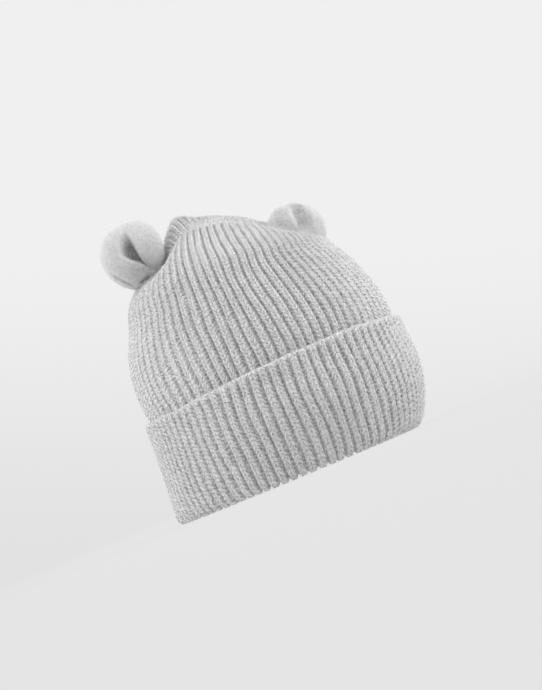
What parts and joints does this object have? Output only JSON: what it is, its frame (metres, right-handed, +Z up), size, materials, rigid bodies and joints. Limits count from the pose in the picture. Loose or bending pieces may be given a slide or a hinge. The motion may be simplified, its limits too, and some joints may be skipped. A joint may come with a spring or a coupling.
{
  "type": "baby hat with ears",
  "caption": "Chunky rib-knit baby beanie with a deep turned-up cuff, a gathered crown and small folded ears.",
  "frame": {"origin": "on the surface that the hat stands on, under the middle of its box", "axes": "+Z up towards the crown's top, -Y towards the wearer's front, +X towards the wearer's left ear"},
  "size_m": [0.1564, 0.1728, 0.1706],
  "materials": {
    "rib_knit": "chunky heather-grey rib knit, soft and matt",
    "ear_knit": "finer heather-grey smooth knit, soft and matt"
  },
  "bodies": {
    "root": {"crown": "rib_knit", "cuff": "rib_knit", "ear_left": "ear_knit", "ear_right": "ear_knit"}
  },
  "joints": []
}
